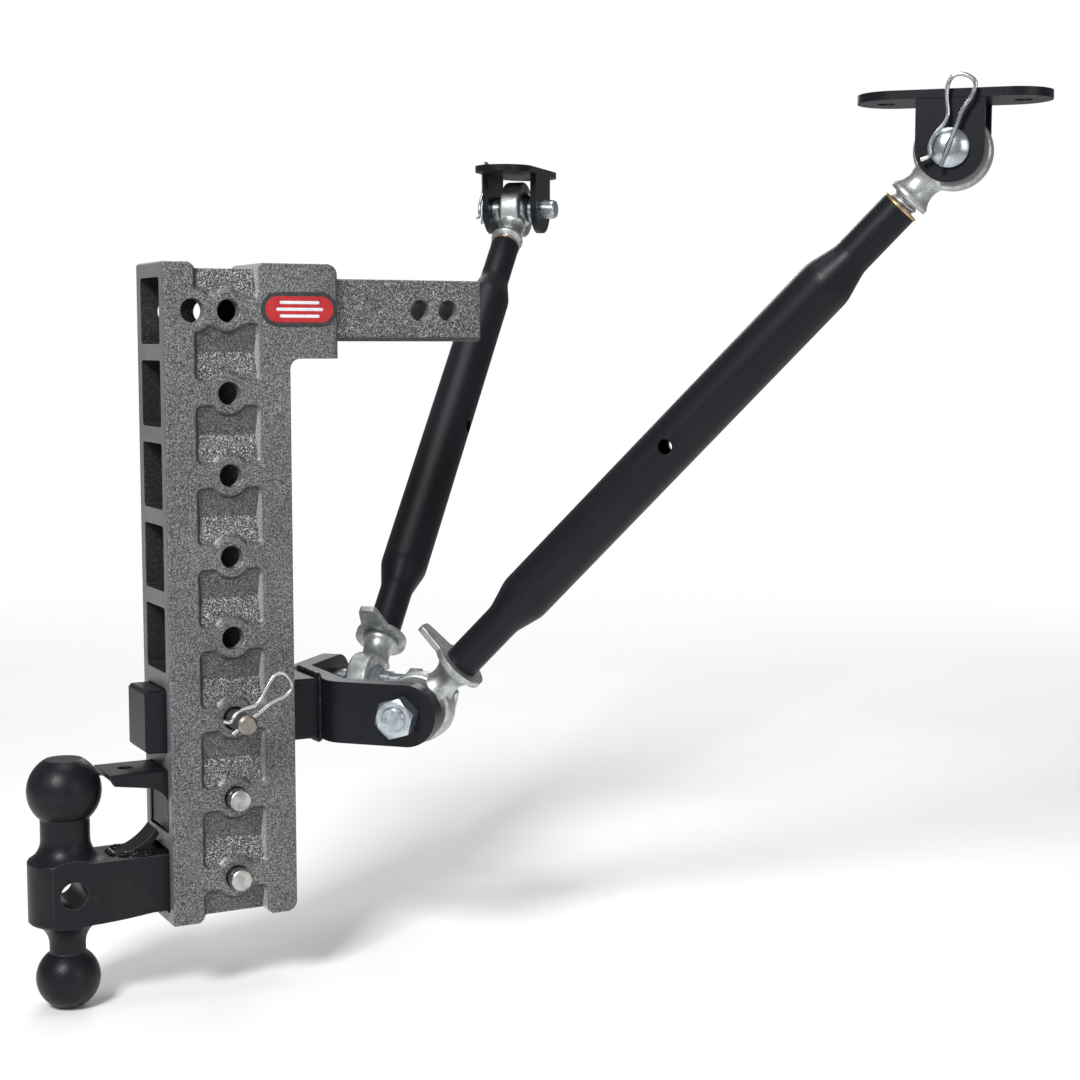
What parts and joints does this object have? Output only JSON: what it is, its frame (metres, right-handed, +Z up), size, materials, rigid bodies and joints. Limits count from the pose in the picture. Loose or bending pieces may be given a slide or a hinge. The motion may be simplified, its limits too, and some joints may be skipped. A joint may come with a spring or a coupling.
{
  "type": "ladder drop hitch with stabiliser arms",
  "caption": "Square receiver shank on a tall pin-adjusted ladder frame with a dual ball mount low behind and two turnbuckle stabiliser arms in front.",
  "frame": {"origin": "centre of the rear cross bore of the receiver shank", "axes": "+X towards the towing vehicle, +Y to the left of the vehicle, +Z up"},
  "size_m": [0.6746, 0.8384, 0.7241],
  "materials": {
    "grey_hammertone": "textured",
    "satin_black": "satin",
    "turned_steel": "satin",
    "zinc": "satin",
    "brass": "satin"
  },
  "bodies": {
    "hitch": {"ladder_frame": "grey_hammertone", "receiver_shank": "grey_hammertone", "dual_ball_mount": "satin_black", "curved_strap": "satin_black", "upper_bracket": "satin_black", "bracket_end_plate": "satin_black", "stabiliser_stub": "satin_black", "bent_bar": "satin_black", "right_pivot_bolt": "zinc", "right_pivot_nut": "zinc", "right_ear_spacer": "zinc", "right_head_spacer": "zinc", "left_pivot_bolt": "zinc", "left_pivot_nut": "zinc", "left_ear_spacer": "zinc", "left_head_spacer": "zinc"},
    "upper_lock_pin": {"upper_lock_pin": "turned_steel"},
    "lower_lock_pin": {"lower_lock_pin": "turned_steel"},
    "stub_pin": {"stub_pin": "turned_steel"},
    "stub_pin_clip": {"stub_pin_clip": "zinc"},
    "right_lower_ball": {"right_lower_ball": "zinc"},
    "right_lower_end": {"right_lower_ball_end": "zinc"},
    "right_flange": {"right_lock_flange": "zinc"},
    "right_tube": {"right_turnbuckle_tube": "satin_black", "right_seal_ring": "brass"},
    "right_upper_end": {"right_upper_ball_end": "zinc"},
    "right_upper_ball": {"right_upper_ball": "zinc"},
    "right_clevis": {"right_clevis_bracket": "satin_black", "right_clevis_pin": "zinc", "right_clevis_spacers": "zinc"},
    "right_clip": {"right_clevis_clip": "zinc"},
    "left_lower_ball": {"left_lower_ball": "zinc"},
    "left_lower_end": {"left_lower_ball_end": "zinc"},
    "left_flange": {"left_lock_flange": "zinc"},
    "left_tube": {"left_turnbuckle_tube": "satin_black", "left_seal_ring": "brass"},
    "left_upper_end": {"left_upper_ball_end": "zinc"},
    "left_upper_ball": {"left_upper_ball": "zinc"},
    "left_clevis": {"left_clevis_bracket": "satin_black", "left_clevis_pin": "zinc", "left_clevis_spacers": "zinc"},
    "left_clip": {"left_clevis_clip": "zinc"}
  },
  "joints": [
    {"name": "upper_lock_pin_pull", "type": "slide", "parent": "hitch", "child": "upper_lock_pin", "axis": [0, 1, 0], "range_m": [0, 0.11]},
    {"name": "lower_lock_pin_pull", "type": "slide", "parent": "hitch", "child": "lower_lock_pin", "axis": [0, 1, 0], "range_m": [0, 0.11]},
    {"name": "stub_pin_play", "type": "slide", "parent": "hitch", "child": "stub_pin", "axis": [0, 1, 0], "range_m": [-0.018, 0.018]},
    {"name": "stub_clip_pull", "type": "slide", "parent": "stub_pin", "child": "stub_pin_clip", "axis": [0.8192, 0, 0.5736], "range_m": [0, 0.032]},
    {"name": "right_arm_swing", "type": "hinge", "parent": "hitch", "child": "right_lower_ball", "pos_m": [-0.01715, -0.05773, -0.3275], "axis": [-0.7071, -0.7071, 0], "range_deg": [-30, 35]},
    {"name": "right_arm_tilt", "type": "hinge", "parent": "right_lower_ball", "child": "right_lower_end", "pos_m": [-0.01715, -0.05773, -0.3275], "axis": [0.5087, -0.5087, -0.6947], "range_deg": [-10, 10]},
    {"name": "right_tube_turn", "type": "hinge", "parent": "right_flange", "child": "right_tube", "pos_m": [-0.01715, -0.05773, -0.3275], "axis": [0.4912, -0.4912, 0.7193], "range_deg": [0, 4320]},
    {"name": "right_flange_travel", "type": "slide", "parent": "right_lower_end", "child": "right_flange", "axis": [0.4912, -0.4912, 0.7193], "range_m": [0, 0.06]},
    {"name": "right_upper_end_travel", "type": "slide", "parent": "right_flange", "child": "right_upper_end", "axis": [0.4912, -0.4912, 0.7193], "range_m": [0, 0.06]},
    {"name": "right_clevis_tilt", "type": "hinge", "parent": "right_upper_end", "child": "right_upper_ball", "pos_m": [0.28494, -0.35981, 0.11489], "axis": [0.5087, -0.5087, -0.6947], "range_deg": [-8, 8]},
    {"name": "right_clevis_swing", "type": "hinge", "parent": "right_upper_ball", "child": "right_clevis", "pos_m": [0.28494, -0.35981, 0.11489], "axis": [-0.7071, -0.7071, 0], "range_deg": [-30, 30]},
    {"name": "right_clip_pull", "type": "slide", "parent": "right_clevis", "child": "right_clip", "axis": [0.2418, -0.2418, 0.9397], "range_m": [0, 0.03]},
    {"name": "left_arm_swing", "type": "hinge", "parent": "hitch", "child": "left_lower_ball", "pos_m": [-0.01715, 0.05773, -0.3275], "axis": [0.7071, -0.7071, 0], "range_deg": [-30, 35]},
    {"name": "left_arm_tilt", "type": "hinge", "parent": "left_lower_ball", "child": "left_lower_end", "pos_m": [-0.01715, 0.05773, -0.3275], "axis": [0.5087, 0.5087, -0.6947], "range_deg": [-10, 10]},
    {"name": "left_tube_turn", "type": "hinge", "parent": "left_flange", "child": "left_tube", "pos_m": [-0.01715, 0.05773, -0.3275], "axis": [0.4912, 0.4912, 0.7193], "range_deg": [0, 4320]},
    {"name": "left_flange_travel", "type": "slide", "parent": "left_lower_end", "child": "left_flange", "axis": [0.4912, 0.4912, 0.7193], "range_m": [0, 0.06]},
    {"name": "left_upper_end_travel", "type": "slide", "parent": "left_flange", "child": "left_upper_end", "axis": [0.4912, 0.4912, 0.7193], "range_m": [0, 0.06]},
    {"name": "left_clevis_tilt", "type": "hinge", "parent": "left_upper_end", "child": "left_upper_ball", "pos_m": [0.28494, 0.35981, 0.11489], "axis": [0.5087, 0.5087, -0.6947], "range_deg": [-8, 8]},
    {"name": "left_clevis_swing", "type": "hinge", "parent": "left_upper_ball", "child": "left_clevis", "pos_m": [0.28494, 0.35981, 0.11489], "axis": [0.7071, -0.7071, 0], "range_deg": [-30, 30]},
    {"name": "left_clip_pull", "type": "slide", "parent": "left_clevis", "child": "left_clip", "axis": [0.2418, 0.2418, 0.9397], "range_m": [0, 0.03]}
  ],
  "couplings": [
    {"joint": "right_flange_travel", "follows": "right_tube_turn", "m_per_rad": 0.00079577},
    {"joint": "right_upper_end_travel", "follows": "right_tube_turn", "m_per_rad": 0.00079577},
    {"joint": "left_flange_travel", "follows": "left_tube_turn", "m_per_rad": 0.00079577},
    {"joint": "left_upper_end_travel", "follows": "left_tube_turn", "m_per_rad": 0.00079577}
  ]
}
